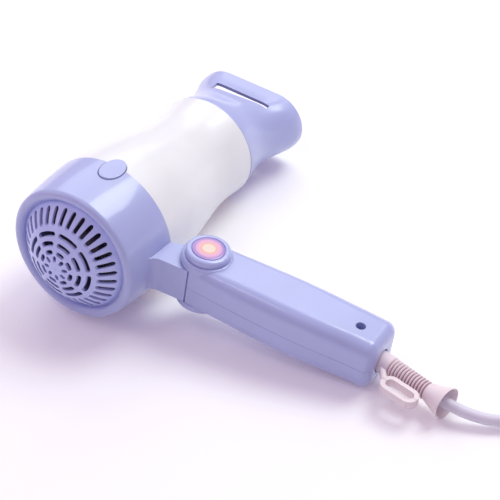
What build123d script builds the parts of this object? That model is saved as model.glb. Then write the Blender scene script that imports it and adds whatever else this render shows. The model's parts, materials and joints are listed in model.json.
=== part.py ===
"""Folding hair dryer lying on its side, with a concentrator nozzle and a coiled cord."""

import os
from math import asin, atan, atan2, cos, degrees, hypot, pi, radians, sin, sqrt, tan

from build123d import *

os.makedirs("parts", exist_ok=True)

# Sizes are in millimetres. In the dryer's own plane x runs along the handle, y along the barrel to
# the nozzle and z out of the side that faces up as it lies. The seam between housing and barrel is y = 0.

# Clearances
fit = 0.05
gap = 0.3
part_gap = 0.15

# Rear housing, barrel and intake
seam_radius = 37.8
rim_radius = 36.0
housing_length = 30.0
wall = 2.4
grille_radius = 30.0
grille_base = 29.6
grille_rise = 15.5
grille_thickness = 1.4
flange_thickness = 2.0
ledge_radius = 27.5
radial_slots = 32
ring_slots = 8
slot_width = 2.35
ring_radii = (17.2, 12.8, 8.6)
rib_width = 2.1
barrel_length = 85.5
belly_at = 28.0
belly_radius = 34.5
waist_radius = 28.1
barrel_front_radius = 28.7
spigot_radius = 26.0
spigot_length = 5.0
sleeve_length = 6.0

# Concentrator nozzle
nozzle_length = 45.0
nozzle_turn = 3.9
mouth_width = 64.9
mouth_height = 34.0
mouth_band = 12.7
nozzle_wall = 1.8
vent_length = 33.5
vent_width = 6.5
vent_taper = 3.6

# Cool-shot button on the seam
button_length = 17.4
button_width = 11.6
button_centre = -3.4
button_proud = 0.5
button_gap = 0.35
button_travel = 1.2

# Neck and hinge
neck_reach = 20.1
hinge_y = 0.4
knuckle_radius = 12.5
knuckle_half = 10.0
neck_root_round = 5.5
neck_groove = 0.8
ear_radius = 13.2
ear_top = 14.3
ear_round = 1.6
pin_radius = 5.0
pin_wall = 1.2
cap_radius = 11.4
cap_height = 3.6
disc_radius = 8.1
disc_thickness = 0.5

# Handle: each station has its distance from the hinge, rear, front, lower and upper faces, and corner
handle_angle = 4.2
handle_wall = 2.2
handle_stations = (
    (-2.5, -12.9, 12.9, -13.0, 13.4, 3.6),
    (14.0, -13.9, 14.4, -13.2, 13.9, 6.2),
    (32.0, -14.7, 15.4, -13.7, 14.7, 7.0),
    (54.0, -14.8, 15.8, -13.8, 15.2, 7.0),
    (76.0, -13.6, 15.8, -13.3, 15.1, 7.0),
    (98.6, -13.0, 15.5, -13.0, 14.8, 7.0),
)
handle_end_round = 5.4
recess_radius = 6.4
handle_screw_at = 84.7
screw_well_radius = 2.5

# Slide switch on the face of the handle that looks toward the nozzle
switch_at = 32.0
switch_travel = 8.0
stem_length = 6.0
stem_width = 3.6
knob_length = 13.0
knob_width = 9.0
knob_height = 2.6

# Strain relief and hanging loop
relief_turn = 14.2
relief_lift = 4.3
relief_length = 40.6
collar_radius = 4.7
sleeve_radius = 5.4
rib_count = 12
rib_radius = 5.1
rib_root = 4.1
ribs_from = 7.4
ribs_to = 28.6
bell_radius = 8.4
bell_depth = 7.0
loop_length = 21.0
loop_width = 10.0
loop_slot = 5.3
loop_height = 4.4
loop_along = 20.2
loop_aside = 10.6

# Cord: round, with its coil of spiral turns in two layers
cord_diameter = 5.8
cord_pitch = 6.4
layer_pitch = 6.5
coil_outer = 44.5
tie_thickness = 0.8
lead_points = (
    (148.8, -43.4, 5.4),
    (160.0, -39.4, 4.4),
    (176.0, -28.4, 4.2),
    (191.6, -17.7, 4.1),
    (205.1, -14.1, 4.1),
)
tail_points = (
    (217.0, -4.25, 10.6),
    (232.0, -1.5, 10.4),
    (245.0, 2.2, 7.6),
    (257.0, 6.6, 7.6),
)

# Plug with two round pins
plug_width = 36.0
plug_height = 14.6
plug_length = 34.0
plug_neck = 11.0
prong_radius = 2.4
prong_length = 19.0
prong_spacing = 19.0

hinge_x = seam_radius + neck_reach

# The dryer rests on the seam edge, on the front edge of the barrel and on the end of the handle.
nose_drop = atan((seam_radius - barrel_front_radius) / barrel_length)
turn = radians(handle_angle)
handle_length = handle_stations[-1][0]
end_x = hinge_x + (handle_length - handle_end_round) * cos(turn)
end_y = hinge_y + (handle_length - handle_end_round) * sin(turn)
end_low = -handle_stations[-1][3]
handle_drop = asin((seam_radius - end_y * tan(nose_drop)) / hypot(end_x, end_low)) - atan2(end_low, end_x)

# The origin lies on the floor, under the middle of the dryer's box without its cord.
far_x = (hinge_x + handle_length * cos(turn)) * cos(handle_drop) + 11.0 * sin(handle_drop)
near_x = -seam_radius
rear_y = -(grille_base + grille_rise) * cos(nose_drop)
front_y = (barrel_length + nozzle_length) * cos(nose_drop) + mouth_height / 2 * sin(nose_drop)
rest = Location(
    (-(far_x + near_x) / 2, -(front_y + rear_y) / 2, seam_radius * cos(nose_drop)),
    (-degrees(nose_drop), degrees(handle_drop), 0),
)


def turned(plane, about_x, about_y, about_z):
    """Turn a plane about its own axes."""
    return Plane(plane.location * Location((0, 0, 0), (about_x, about_y, about_z)))


# Planes: the dryer's middle plane, the view of the tail, the mouth, the hinge, the handle and the relief
dryer = Plane(rest)
barrel_axis = Axis(dryer.origin, dryer.y_dir)
tail = Plane(dryer.origin, x_dir=dryer.x_dir, z_dir=-dryer.y_dir)
mouth = turned(tail, 0, 0, nozzle_turn)
hinge = Plane(dryer.location * Location((hinge_x, hinge_y, 0), (0, 0, handle_angle)))
grip = Plane(hinge.origin, x_dir=hinge.y_dir, z_dir=hinge.x_dir)
face = Plane(hinge.origin, x_dir=hinge.x_dir, z_dir=hinge.y_dir)
relief = turned(grip.offset(handle_length), -relief_lift, -relief_turn, 0)
ear_inner = knuckle_half + gap
sleeve_outer = seam_radius - wall - fit
sleeve_inner = sleeve_outer - 1.8
button_top = seam_radius + button_proud


def at_neck_root(edge):
    """Tell whether an edge runs along the rear root of the neck."""
    middle = dryer.to_local_coords(edge @ 0.5)
    return abs(middle.X - seam_radius) < 2 and -20 < middle.Y < -11 and abs(middle.Z) < 1


def slots_of_grille():
    """Draw the radial and ring slots of the intake grille."""
    with PolarLocations(grille_radius - 5.7, radial_slots):
        SlotOverall(7.6, slot_width)
    for radius in ring_radii:
        span = 360 / ring_slots - degrees((rib_width + slot_width) / radius)
        for k in range(ring_slots):
            middle = 35 + 360 / ring_slots * k
            with BuildLine(mode=Mode.PRIVATE) as run:
                CenterArc((0, 0), radius, middle - span / 2, span)
            SlotArc(run.edge(), slot_width)
    with PolarLocations(5.4, ring_slots, start_angle=12.5):
        SlotOverall(3.2, 1.9)


def handle_form(inset, first, last):
    """Loft the handle through its stations, drawn in by an inset."""
    outlines = []
    for along, rear, front, low, high, corner in handle_stations:
        if first <= along <= last:
            with BuildSketch(grip.offset(along)) as outline:
                with Locations(((rear + front) / 2, (low + high) / 2)):
                    RectangleRounded(front - rear - 2 * inset, high - low - 2 * inset, corner - inset)
            outlines.append(outline.sketch)
    loft(outlines, mode=Mode.ADD if inset == 0 else Mode.SUBTRACT)


def handle_hollows():
    """Cut the room for the knuckle, the switch slot and the strain relief's seat."""
    with BuildSketch(hinge.offset(-ear_inner)) as room:
        Circle(knuckle_radius + gap)
        with BuildLine():
            sweep_edge = CenterArc((0, 0), 24, 66, 192)
            Polyline(sweep_edge @ 1, (0, 0), sweep_edge @ 0)
        make_face()
    extrude(room.sketch, amount=2 * ear_inner, mode=Mode.SUBTRACT)
    with BuildSketch(hinge.offset(-ear_top + 1.5)) as pin_bore:
        Circle(pin_radius)
    extrude(pin_bore.sketch, amount=2 * ear_top - 3, mode=Mode.SUBTRACT)
    with BuildSketch(face.offset(12)) as switch_slot:
        with Locations((switch_at + switch_travel / 2, 0)):
            Rectangle(stem_length + switch_travel + 2 * gap, stem_width + 2 * gap)
    extrude(switch_slot.sketch, amount=6, mode=Mode.SUBTRACT)
    with BuildSketch(grip.offset(handle_length - 6.8)) as flange_seat:
        Circle(7.0 + fit)
    extrude(flange_seat.sketch, amount=2.6, mode=Mode.SUBTRACT)
    with BuildSketch(grip.offset(handle_length - 8)) as collar_bore:
        Circle(collar_radius + 0.1)
    extrude(collar_bore.sketch, amount=12, mode=Mode.SUBTRACT)
    with BuildSketch(grip.offset(handle_length - 2.4)) as end_recess:
        Circle(recess_radius)
    extrude(end_recess.sketch, amount=6, mode=Mode.SUBTRACT)


# Rear housing: cup with a rounded intake lip, carrying the neck and the knuckle of the hinge
seat = -grille_base + flange_thickness
neck_root = seam_radius - 9.8
far_side = Plane(dryer.origin, x_dir=-dryer.x_dir, z_dir=-dryer.z_dir)
with BuildPart() as rear_housing:
    with BuildSketch(far_side):
        with BuildLine():
            flank = ThreePointArc(
                (seam_radius, -part_gap), (seam_radius - 0.4, -14), (rim_radius, -housing_length)
            )
            lip = TangentArc(flank @ 1, (grille_radius + 0.5, -grille_base - 0.4), tangent=flank % 1)
            Polyline(lip @ 1, (0, -grille_base - 0.4), (0, -part_gap), flank @ 0)
        make_face()
    revolve(axis=barrel_axis)
    with BuildSketch(dryer.offset(-knuckle_half)):
        Polygon(
            (neck_root, -16.2),
            (hinge_x, hinge_y - knuckle_radius),
            (hinge_x, hinge_y),
            (hinge_x - 12, hinge_y + 3.5),
            (neck_root, -4.3),
            align=None,
        )
        with Locations((hinge_x, hinge_y)):
            Circle(knuckle_radius)
    extrude(amount=2 * knuckle_half)
    fillet(rear_housing.edges().filter_by(at_neck_root), neck_root_round)
    with BuildSketch(dryer):
        Polygon(
            (0, -housing_length - 8),
            (grille_radius + 0.4, -housing_length - 8),
            (grille_radius + 0.4, seat),
            (ledge_radius, seat),
            (ledge_radius, seat + 2),
            (rim_radius - wall, seat + 2),
            (seam_radius - wall, -sleeve_length - 1),
            (seam_radius - wall, 1),
            (0, 1),
            align=None,
        )
    revolve(axis=barrel_axis, mode=Mode.SUBTRACT)
    with BuildSketch(hinge.offset(-knuckle_half)):
        Circle(pin_radius + fit)
    extrude(amount=2 * knuckle_half, mode=Mode.SUBTRACT)
    with BuildSketch(hinge.offset(-knuckle_half - 1)):
        with Locations((-3.2, -knuckle_radius)):
            Rectangle(neck_groove, 2 * neck_groove)
    extrude(amount=2 * knuckle_half + 2, mode=Mode.SUBTRACT)
    with BuildSketch(dryer.offset(sleeve_inner - 4)):
        with Locations((0, button_centre)):
            Ellipse(button_width / 2 + button_gap, button_length / 2 + button_gap)
    extrude(amount=button_top - sleeve_inner + 6, mode=Mode.SUBTRACT)
rear_housing.part.label = "rear_housing"
export_step(rear_housing.part, "parts/rear_housing.step")

# Intake grille: slotted dome with a seating flange
dome_radius = (grille_radius**2 + grille_rise**2) / (2 * grille_rise)
dome_centre = dome_radius - grille_base - grille_rise
inner_radius = dome_radius - grille_thickness
inner_edge = sqrt(inner_radius**2 - (seat - dome_centre) ** 2)
with BuildPart() as intake_grille:
    with BuildSketch(dryer):
        with BuildLine():
            crown = (0, -grille_base - grille_rise)
            outside = RadiusArc(crown, (grille_radius, -grille_base), -dome_radius)
            inside = RadiusArc((inner_edge, seat), (0, dome_centre - inner_radius), inner_radius)
            Polyline(
                outside @ 1,
                (grille_radius + 0.3, -grille_base),
                (grille_radius + 0.3, seat),
                inside @ 0,
            )
            Line(inside @ 1, outside @ 0)
        make_face()
    revolve(axis=barrel_axis)
    with BuildSketch(tail.offset(grille_base + grille_rise + 5)):
        slots_of_grille()
    extrude(amount=-grille_rise - 10.5, mode=Mode.SUBTRACT)
intake_grille.part.label = "intake_grille"
export_step(intake_grille.part, "parts/intake_grille.step")

# Barrel shell: tube drawn in to a waist, with a sleeve into the housing and a spigot for the nozzle
waist_at = barrel_length - 17.5
flank_at = (belly_at + waist_at) / 2 - 2
flank_radius = (belly_radius + waist_radius) / 2
with BuildPart() as barrel_shell:
    with BuildSketch(dryer):
        with BuildLine():
            outside = Spline(
                (seam_radius - 0.4, part_gap),
                (belly_radius, belly_at),
                (flank_radius, flank_at),
                (waist_radius, waist_at),
                (barrel_front_radius, barrel_length),
                tangents=((-0.06, 1), (0.05, 1)),
            )
            bore = Spline(
                (barrel_front_radius - 3, barrel_length - 5),
                (waist_radius - wall, waist_at),
                (flank_radius - wall, flank_at),
                (belly_radius - wall, belly_at),
                (seam_radius - wall - 0.6, 5),
            )
            Polyline(
                outside @ 1,
                (spigot_radius, barrel_length),
                (spigot_radius, barrel_length + spigot_length),
                (spigot_radius - 2, barrel_length + spigot_length),
                (spigot_radius - 2, barrel_length - 3),
                bore @ 0,
            )
            Polyline(
                bore @ 1,
                (sleeve_inner, 4),
                (sleeve_inner, -sleeve_length),
                (sleeve_outer, -sleeve_length),
                (sleeve_outer, part_gap),
                outside @ 0,
            )
        make_face()
    revolve(axis=barrel_axis)
    with BuildSketch(dryer.offset(sleeve_inner - 4)):
        with Locations((0, button_centre)):
            Ellipse(button_width / 2 + button_gap, button_length / 2 + button_gap)
    extrude(amount=button_top - sleeve_inner + 6, mode=Mode.SUBTRACT)
barrel_shell.part.label = "barrel_shell"
export_step(barrel_shell.part, "parts/barrel_shell.step")

# Cool-shot button: long oval with a foot above its switch
with BuildPart() as cool_shot_button:
    with BuildSketch(dryer.offset(sleeve_inner - 0.4)):
        with Locations((0, button_centre)):
            Ellipse(button_width / 2, button_length / 2)
    extrude(amount=button_top - sleeve_inner + 3)
    with BuildSketch(tail.offset(-button_centre + button_length)):
        Circle(button_top)
    extrude(amount=-2 * button_length, mode=Mode.INTERSECT)
    fillet(cool_shot_button.faces().sort_by(Axis(dryer.origin, dryer.z_dir))[-1].edges(), 0.5)
cool_shot_button.part.label = "cool_shot_button"
export_step(cool_shot_button.part, "parts/cool_shot_button.step")

# Switch of the button, on a bracket that bridges the sleeve
switch_top = sleeve_inner - 0.4 - button_travel - 0.2
with BuildPart() as button_switch:
    with BuildSketch(dryer.offset(switch_top - 3.2)):
        with Locations((0, button_centre)):
            Rectangle(8, 34)
    extrude(amount=1.2)
    with BuildSketch(dryer.offset(switch_top - 2)):
        with Locations((0, button_centre)):
            Rectangle(6, 6)
    extrude(amount=1.4)
    with BuildSketch(dryer.offset(switch_top - 0.6)):
        with Locations((0, button_centre)):
            Circle(1.5)
    extrude(amount=0.6)
    with BuildSketch(dryer.offset(switch_top - 2)):
        with GridLocations(0, 31, 1, 2):
            with Locations((0, button_centre)):
                Rectangle(8, 3)
    extrude(amount=2.6)
button_switch.part.label = "button_switch"
export_step(button_switch.part, "parts/button_switch.step")

# Motor mount: outer ring, six turned vanes and a cup round the motor
can_radius = 13.8
can_from = -2.0
can_length = 31.0
mount_length = 12.0
mount_from = belly_at - mount_length
mount_radius = belly_radius - wall - part_gap
with BuildPart() as motor_mount:
    with BuildSketch(tail.offset(-mount_from)):
        Circle(mount_radius)
        Circle(mount_radius - 1.6, mode=Mode.SUBTRACT)
        Circle(can_radius + 1.8)
        Circle(can_radius + fit, mode=Mode.SUBTRACT)
        with PolarLocations((mount_radius + can_radius) / 2, 6):
            Rectangle(mount_radius - can_radius - 2, 1.4, rotation=14)
    extrude(amount=-mount_length)
motor_mount.part.label = "motor_mount"
export_step(motor_mount.part, "parts/motor_mount.step")

# Motor can with its bearing boss
shaft_radius = 1.6
with BuildPart() as motor_can:
    with BuildSketch(tail.offset(-can_from)):
        Circle(can_radius)
    extrude(amount=-can_length)
    fillet(motor_can.edges().filter_by(GeomType.CIRCLE), 1.2)
    with BuildSketch(tail.offset(-can_from)):
        Circle(5)
    extrude(amount=2)
    with BuildSketch(tail.offset(-can_from + 2)):
        Circle(shaft_radius + fit)
    extrude(amount=-14, mode=Mode.SUBTRACT)
motor_can.part.label = "motor_can"
export_step(motor_can.part, "parts/motor_can.step")

# Shaft and impeller, turning together on the barrel's axis
fan_rear = housing_length - 8.0
with BuildPart() as motor_shaft:
    with BuildSketch(tail.offset(fan_rear - 2)):
        Circle(shaft_radius)
    extrude(amount=-fan_rear - 7)
motor_shaft.part.label = "motor_shaft"
export_step(motor_shaft.part, "parts/motor_shaft.step")

hub_radius = 9.0
fan_radius = 27.0
blade_count = 7
with BuildPart() as impeller:
    with BuildSketch(tail.offset(fan_rear - 14)):
        Circle(hub_radius)
    extrude(amount=14)
    fillet(impeller.faces().sort_by(barrel_axis)[0].edges(), 3)
    for k in range(blade_count):
        spoke = turned(tail.offset(fan_rear - 7.5), 0, 0, 360 / blade_count * k)
        root = turned(Plane(spoke.origin, x_dir=spoke.y_dir, z_dir=spoke.x_dir), 0, 0, 38)
        with BuildSketch(root.offset(hub_radius - 1.5)):
            Rectangle(13.5, 1.3)
        extrude(amount=fan_radius - hub_radius + 1.5)
    with BuildSketch(tail.offset(fan_rear - 15)):
        Circle(shaft_radius)
    extrude(amount=13, mode=Mode.SUBTRACT)
impeller.part.label = "impeller"
export_step(impeller.part, "parts/impeller.step")

# Heater: mica tube, crossed mica boards, resistance winding and thermal cutout
heater_from = 32.0
heater_to = barrel_length - 10.5
shield_radius = waist_radius - wall - gap
board_half = shield_radius - 4.6
with BuildPart() as heat_shield:
    with BuildSketch(tail.offset(-heater_from)):
        Circle(shield_radius)
        Circle(shield_radius - 0.6, mode=Mode.SUBTRACT)
    extrude(amount=-(heater_to - heater_from))
heat_shield.part.label = "heat_shield"
export_step(heat_shield.part, "parts/heat_shield.step")

with BuildPart() as heater_boards:
    with BuildSketch(tail.offset(-heater_from - 1)):
        Rectangle(2 * board_half, 0.8)
        Rectangle(0.8, 2 * board_half)
    extrude(amount=-(heater_to - heater_from - 2))
heater_boards.part.label = "heater_boards"
export_step(heater_boards.part, "parts/heater_boards.step")

wire_radius = 0.6
winding_turns = 8
winding_pitch = (heater_to - heater_from - 6) / winding_turns
winding_radius = board_half + wire_radius + 0.1
with BuildPart() as heater_winding:
    with BuildLine() as winding_path:
        Helix(
            winding_pitch,
            winding_pitch * winding_turns,
            winding_radius,
            center=tail.offset(-heater_to + 2).origin,
            direction=tail.z_dir,
        )
    with BuildSketch(Plane(winding_path.line @ 0, z_dir=winding_path.line % 0)):
        Circle(wire_radius)
    sweep(is_frenet=True)
heater_winding.part.label = "heater_winding"
export_step(heater_winding.part, "parts/heater_winding.step")

with BuildPart() as thermal_cutout:
    with BuildSketch(dryer.offset(0.5)):
        with Locations((10, heater_from + 8)):
            RectangleRounded(9, 7, 1)
    extrude(amount=3.2)
thermal_cutout.part.label = "thermal_cutout"
export_step(thermal_cutout.part, "parts/thermal_cutout.step")

# Front guard: ring with bars that keeps fingers from the heater
with BuildPart() as front_guard:
    with BuildSketch(tail.offset(-barrel_length + 1)):
        Circle(spigot_radius - 2 - fit)
        Circle(spigot_radius - 4, mode=Mode.SUBTRACT)
        Circle(13)
        Circle(11.6, mode=Mode.SUBTRACT)
        with PolarLocations(0, 3):
            Rectangle(2 * (spigot_radius - 3), 1.4)
    extrude(amount=-2)
front_guard.part.label = "front_guard"
export_step(front_guard.part, "parts/front_guard.step")

# Concentrator nozzle: round collar flaring into a flat mouth, with a vent slot in each broad side
nozzle_rear = barrel_length + part_gap
nozzle_front = barrel_length + nozzle_length
nozzle_stations = (
    (nozzle_rear, 2 * barrel_front_radius + 0.4, 2 * barrel_front_radius - 0.8),
    (nozzle_rear + 5.6, 2 * spigot_radius + 3.6, 2 * spigot_radius + 1.8),
    (nozzle_rear + 12, 2 * spigot_radius + 1.4, 2 * spigot_radius - 4.0),
    (nozzle_rear + 20, mouth_width - 11.5, mouth_height + 6.5),
    (nozzle_rear + 27, mouth_width - 8.5, mouth_height + 2.6),
    (nozzle_rear + 33, mouth_width - 4.3, mouth_height + 0.8),
    (nozzle_front, mouth_width, mouth_height),
)
with BuildPart() as nozzle:
    for along, width, height in nozzle_stations:
        with BuildSketch(mouth.offset(-along)):
            SlotOverall(width, height)
    loft()
    fillet(nozzle.faces().sort_by(barrel_axis)[-1].edges(), 0.5)
    with BuildSketch(mouth.offset(-nozzle_rear)):
        Circle(spigot_radius + fit)
    extrude(amount=-spigot_length - 0.6, mode=Mode.SUBTRACT)
    for along, width, height in nozzle_stations[1:-1]:
        with BuildSketch(mouth.offset(-along)):
            SlotOverall(width - 2 * nozzle_wall, height - 2 * nozzle_wall)
    with BuildSketch(mouth.offset(-nozzle_front - 0.1)):
        SlotOverall(mouth_width - 2 * nozzle_wall, mouth_height - 2 * nozzle_wall)
    loft(mode=Mode.SUBTRACT)
    broad = Plane(mouth.origin, x_dir=mouth.x_dir, z_dir=mouth.y_dir)
    with BuildSketch(broad.offset(-40)):
        with Locations((1, nozzle_front - mouth_band)):
            Polygon(
                (-vent_length / 2, 0),
                (-vent_length / 2, -vent_width),
                (vent_length / 2, -vent_width + vent_taper),
                (vent_length / 2, 0),
                align=None,
            )
    extrude(amount=80, mode=Mode.SUBTRACT)
nozzle.part.label = "nozzle"
export_step(nozzle.part, "parts/nozzle.step")

# Handle shells, parted on the middle plane
with BuildPart() as handle_upper:
    with BuildSketch(hinge.offset(ear_inner)):
        Circle(ear_radius)
    extrude(amount=ear_top - ear_inner)
    fillet(handle_upper.faces().sort_by(Axis(hinge.origin, hinge.z_dir))[-1].edges(), ear_round)
    handle_form(0, -3, 100)
    fillet(handle_upper.faces().sort_by(Axis(hinge.origin, hinge.x_dir))[-1].edges(), handle_end_round)
    handle_form(handle_wall, 10, 80)
    with BuildSketch(hinge):
        with Locations((handle_screw_at, 0)):
            Circle(4.4)
    extrude(amount=12)
    handle_hollows()
    with BuildSketch(hinge.offset(7)):
        with Locations((handle_screw_at, 0)):
            Circle(screw_well_radius)
    extrude(amount=12, mode=Mode.SUBTRACT)
    with BuildSketch(hinge):
        with Locations((handle_screw_at, 0)):
            Circle(1.7)
        Circle(2.0)
    extrude(amount=20, mode=Mode.SUBTRACT)
    split(bisect_by=hinge, keep=Keep.TOP)
handle_upper.part.label = "handle_upper"
export_step(handle_upper.part, "parts/handle_upper.step")

with BuildPart() as handle_lower:
    with BuildSketch(hinge.offset(-ear_inner)):
        Circle(ear_radius)
    extrude(amount=ear_inner - ear_top)
    fillet(handle_lower.faces().sort_by(Axis(hinge.origin, hinge.z_dir))[0].edges(), ear_round)
    handle_form(0, -3, 100)
    fillet(handle_lower.faces().sort_by(Axis(hinge.origin, hinge.x_dir))[-1].edges(), handle_end_round)
    handle_form(handle_wall, 10, 80)
    with BuildSketch(hinge):
        with Locations((handle_screw_at, 0)):
            Circle(4.4)
    extrude(amount=-12)
    handle_hollows()
    with BuildSketch(hinge.offset(-11)):
        with Locations((handle_screw_at, 0)):
            Circle(1.5)
    extrude(amount=11, mode=Mode.SUBTRACT)
    split(bisect_by=hinge.offset(-part_gap), keep=Keep.BOTTOM)
handle_lower.part.label = "handle_lower"
export_step(handle_lower.part, "parts/handle_lower.step")

# Hinge pin, a tube that lets the wires through, and the screw that holds the ears together
with BuildPart() as hinge_pin:
    with BuildSketch(hinge.offset(-ear_top + 1.5)):
        Circle(pin_radius)
        Circle(pin_radius - pin_wall, mode=Mode.SUBTRACT)
    extrude(amount=2 * ear_top - 3)
hinge_pin.part.label = "hinge_pin"
export_step(hinge_pin.part, "parts/hinge_pin.step")

with BuildPart() as hinge_screw:
    with BuildSketch(hinge.offset(ear_top)):
        Circle(3.6)
    extrude(amount=1.8)
    with BuildSketch(hinge.offset(-ear_top + 1.5)):
        Circle(1.9)
    extrude(amount=2 * ear_top - 1.5)
hinge_screw.part.label = "hinge_screw"
export_step(hinge_screw.part, "parts/hinge_screw.step")

# Round cap over the hinge and the disc let into it
with BuildPart() as hinge_cap:
    with BuildSketch(hinge.offset(ear_top)):
        Circle(cap_radius)
    extrude(amount=cap_height)
    fillet(hinge_cap.faces().sort_by(Axis(hinge.origin, hinge.z_dir))[-1].edges(), 1.6)
    with BuildSketch(hinge.offset(ear_top + cap_height - disc_thickness + 0.2)):
        Circle(disc_radius + fit)
    extrude(amount=1, mode=Mode.SUBTRACT)
    with BuildSketch(hinge.offset(ear_top)):
        Circle(4.2)
    extrude(amount=2.1, mode=Mode.SUBTRACT)
hinge_cap.part.label = "hinge_cap"
export_step(hinge_cap.part, "parts/hinge_cap.step")

with BuildPart() as cap_disc:
    with BuildSketch(hinge.offset(ear_top + cap_height - disc_thickness + 0.2)):
        Circle(disc_radius)
    extrude(amount=disc_thickness)
cap_disc.part.label = "cap_disc"
export_step(cap_disc.part, "parts/cap_disc.step")

# Screw at the end of the handle, deep in its well
with BuildPart() as handle_screw:
    with BuildSketch(hinge.offset(7)):
        with Locations((handle_screw_at, 0)):
            Circle(2.4)
    extrude(amount=1.6)
    with BuildSketch(hinge.offset(-9)):
        with Locations((handle_screw_at, 0)):
            Circle(1.45)
    extrude(amount=16)
handle_screw.part.label = "handle_screw"
export_step(handle_screw.part, "parts/handle_screw.step")

# Slide switch: body inside the handle and the knob outside it
front_face = max(station[2] for station in handle_stations)
with BuildPart() as switch_body:
    with BuildSketch(face.offset(5)):
        with Locations((switch_at + switch_travel / 2, 0)):
            Rectangle(26, 13)
    extrude(amount=7.6)
    with BuildSketch(face.offset(8)):
        with Locations((switch_at + switch_travel / 2, 0)):
            Rectangle(stem_length + switch_travel + 2 * gap, stem_width + 2 * gap)
    extrude(amount=6, mode=Mode.SUBTRACT)
switch_body.part.label = "switch_body"
export_step(switch_body.part, "parts/switch_body.step")

with BuildPart() as switch_knob:
    with BuildSketch(face.offset(front_face + gap)):
        with Locations((switch_at, 0)):
            RectangleRounded(knob_length, knob_width, 2)
    extrude(amount=knob_height)
    fillet(switch_knob.faces().sort_by(Axis(hinge.origin, hinge.y_dir))[-1].edges(), 0.8)
    with BuildSketch(face.offset(front_face + gap + knob_height - 0.7)):
        with Locations((switch_at, 0)):
            with GridLocations(2.4, 0, 4, 1):
                Rectangle(1, knob_width)
    extrude(amount=2, mode=Mode.SUBTRACT)
    with BuildSketch(face.offset(9)):
        with Locations((switch_at, 0)):
            Rectangle(stem_length, stem_width)
    extrude(amount=front_face + gap - 9)
switch_knob.part.label = "switch_knob"
export_step(switch_knob.part, "parts/switch_knob.step")

# Strain relief: flange in the handle's seat, collar, ribs and bell, with the hanging loop at its side
relief_axis = Axis(relief.origin, relief.z_dir)
relief_bore = cord_diameter / 2 + 0.4
rib_step = (ribs_to - ribs_from) / rib_count
with BuildPart() as strain_relief:
    with BuildSketch(Plane(relief.origin, x_dir=relief.x_dir, z_dir=-relief.y_dir)):
        with BuildLine():
            rib_line = [(0, -1.2), (sleeve_radius, -1.2), (sleeve_radius, ribs_from - 0.6)]
            for k in range(rib_count):
                start = ribs_from + rib_step * k
                crest = rib_radius - 0.6 * k / rib_count
                rib_line.append((rib_root, start))
                rib_line.append((crest, start + rib_step * 0.3))
                rib_line.append((crest, start + rib_step * 0.75))
            rib_line.append((rib_root, ribs_to))
            Polyline(*rib_line)
            flare = Spline(
                (rib_root, ribs_to),
                (5.6, ribs_to + 5),
                (bell_radius, relief_length - 1),
                tangents=((0.3, 1), (0.7, 0.7)),
            )
            Polyline(
                flare @ 1,
                (bell_radius, relief_length),
                (bell_radius - 1.4, relief_length),
                (relief_bore + 0.5, relief_length - bell_depth),
                (0, relief_length - bell_depth),
                (0, -1.2),
            )
        make_face()
    revolve(axis=relief_axis)
    with BuildSketch(grip.offset(handle_length - 6.7)):
        Circle(7.0)
    extrude(amount=2.4)
    with BuildSketch(grip.offset(handle_length - 7.5)):
        Circle(collar_radius)
    extrude(amount=7.8)
    loop_flat = Plane(relief.origin, x_dir=relief.z_dir, z_dir=relief.y_dir)
    with BuildSketch(loop_flat.offset(-loop_height / 2)):
        with Locations((loop_along, -loop_aside)):
            SlotOverall(loop_length, loop_width)
            SlotOverall(loop_length - loop_width + loop_slot, loop_slot, mode=Mode.SUBTRACT)
        Polygon((1.6, -2), (5.0, -2), (12.6, -7.6), (10.6, -12.4), align=None)
    extrude(amount=loop_height)
    with BuildSketch(grip.offset(handle_length - 8)):
        Circle(relief_bore + 0.6)
    extrude(amount=8, mode=Mode.SUBTRACT)
    with BuildSketch(relief.offset(-1.0)):
        Circle(relief_bore)
    extrude(amount=relief_length - bell_depth + 2, mode=Mode.SUBTRACT)
strain_relief.part.label = "strain_relief"
export_step(strain_relief.part, "parts/strain_relief.step")

# Cord lead, from inside the bell to the coil on the floor
lead_start = relief.from_local_coords(Vector(0, 0, relief_length - bell_depth - 4))
bell_mouth = relief.from_local_coords(Vector(0, 0, relief_length + 1))


def corner_radii(points):
    """Radii that let each corner use 0.45 of its shorter run."""
    radii = []
    for before, here, after in zip(points, points[1:], points[2:]):
        run_in = Vector(*here) - Vector(*before)
        run_out = Vector(*after) - Vector(*here)
        half = radians(run_in.get_angle(run_out)) / 2
        radii.append(0.45 * min(run_in.length, run_out.length) / tan(half))
    return radii


lead_route = (tuple(lead_start), tuple(bell_mouth)) + lead_points
lead_radii = corner_radii(lead_route)
print("lead radii", [round(radius, 1) for radius in lead_radii])
with BuildPart() as cord_lead:
    with BuildLine() as lead_path:
        FilletPolyline(*lead_route, radius=lead_radii)
    with BuildSketch(Plane(lead_path.line @ 0, z_dir=lead_path.line % 0)):
        Circle(cord_diameter / 2)
    sweep()
cord_lead.part.label = "cord_lead"
export_step(cord_lead.part, "parts/cord_lead.step")

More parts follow.
